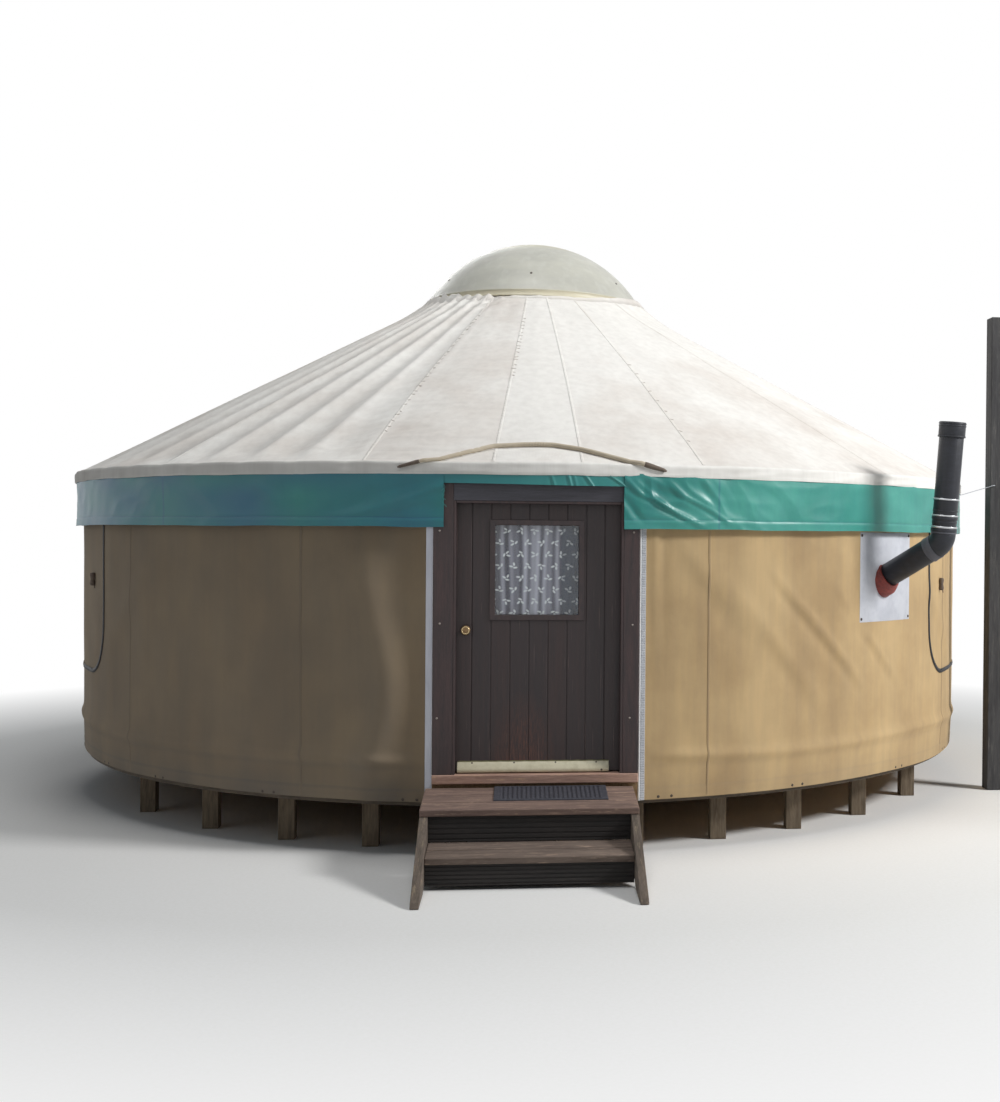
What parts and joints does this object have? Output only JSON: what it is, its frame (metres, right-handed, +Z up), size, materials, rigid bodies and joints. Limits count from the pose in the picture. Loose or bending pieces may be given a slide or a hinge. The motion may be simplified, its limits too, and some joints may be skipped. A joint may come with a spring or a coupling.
{
  "type": "yurt",
  "caption": "round lattice-walled yurt on a timber deck, canvas roof and walls, clear roof dome, timber door with a window, steps and a side flue on a stay",
  "frame": {"origin": "centre of the round plan on the ground, at the foot of the centre pier", "axes": "+Z up; the door faces -Y; +X is to the right for someone who faces the door from outside"},
  "size_m": [6.4433, 7.37, 3.9375],
  "materials": {
    "roof_cloth": "cream cotton-rich canvas over felt, stretched, weathered",
    "wall_cloth": "khaki canvas over felt, soft diagonal wrinkles",
    "valance_cloth": "teal coated cloth with a stitched hem",
    "acrylic": "clear acrylic cap gone pale green-grey with weather",
    "curb_ply": "bent plywood",
    "ash_wood": "steam-bent and sawn ash, oiled",
    "deck_wood": "treated softwood, weathered",
    "frame_wood": "dark stained softwood",
    "door_wood": "dark stained tongued and grooved boards",
    "sill_wood": "bare worn softwood",
    "step_wood": "grey weathered decking",
    "bar_paint": "cream painted softwood",
    "window_glass": "clear float glass",
    "curtain_cloth": "sheer lilac-grey voile with small pale leaves",
    "knob_metal": "dull brass",
    "hinge_steel": "zinc-plated steel",
    "batten_metal": "pale grey aluminium",
    "mat_rubber": "ribbed black rubber",
    "rope_cloth": "cream padded rope",
    "flue_steel": "matt dark enamelled steel",
    "plate_metal": "dull pale metal sheet",
    "boot_rubber": "dark red silicone",
    "band_steel": "stainless steel clamp bands",
    "stay_wire": "galvanized wire",
    "post_wood": "grey weathered timber"
  },
  "bodies": {
    "house": {"roof_canvas_front": "roof_cloth", "roof_canvas_front_right": "roof_cloth", "roof_canvas_back_right": "roof_cloth", "roof_canvas_back": "roof_cloth", "roof_canvas_back_left": "roof_cloth", "roof_canvas_front_left": "roof_cloth", "wall_canvas_front_right": "wall_cloth", "wall_canvas_right": "wall_cloth", "wall_canvas_back_right": "wall_cloth", "wall_canvas_back_left": "wall_cloth", "wall_canvas_left": "wall_cloth", "wall_canvas_front_left": "wall_cloth", "valance": "valance_cloth", "dome": "acrylic", "dome_curb": "curb_ply", "lattice_front_right": "ash_wood", "lattice_back_right": "ash_wood", "lattice_back_left": "ash_wood", "lattice_front_left": "ash_wood", "roof_poles_right": "ash_wood", "roof_poles_left": "ash_wood", "crown_hoop": "ash_wood", "crown_socket_blocks": "ash_wood", "floor_boards": "deck_wood", "deck_rim": "deck_wood", "floor_joists": "deck_wood", "deck_legs": "deck_wood", "centre_pier": "deck_wood", "door_bearer": "deck_wood", "door_jamb_left": "frame_wood", "door_jamb_right": "frame_wood", "door_header": "frame_wood", "door_stops": "frame_wood", "door_sill": "sill_wood", "hinge_frame_sides": "hinge_steel", "edge_battens": "batten_metal", "landing_boards": "step_wood", "tread_boards": "step_wood", "riser_boards": "step_wood", "step_stringers": "step_wood", "step_legs": "step_wood", "door_mat": "mat_rubber", "rain_deflector": "rope_cloth", "flue_pipe": "flue_steel", "flue_stack": "flue_steel", "flue_plate": "plate_metal", "flue_boot": "boot_rubber", "flue_bands": "band_steel", "flue_stay": "stay_wire", "flue_post": "post_wood"},
    "door": {"door_leaf": "door_wood", "door_glass": "window_glass", "door_window_beading": "door_wood", "door_weather_bar": "bar_paint", "door_knobs": "knob_metal", "door_curtain": "curtain_cloth", "door_curtain_rod": "knob_metal", "hinge_door_sides": "hinge_steel"}
  },
  "joints": [
    {"name": "door_hinge", "type": "hinge", "parent": "house", "child": "door", "pos_m": [0.4665, -3.027, 1.184], "axis": [0, 0, -1], "range_deg": [0, 100]}
  ]
}
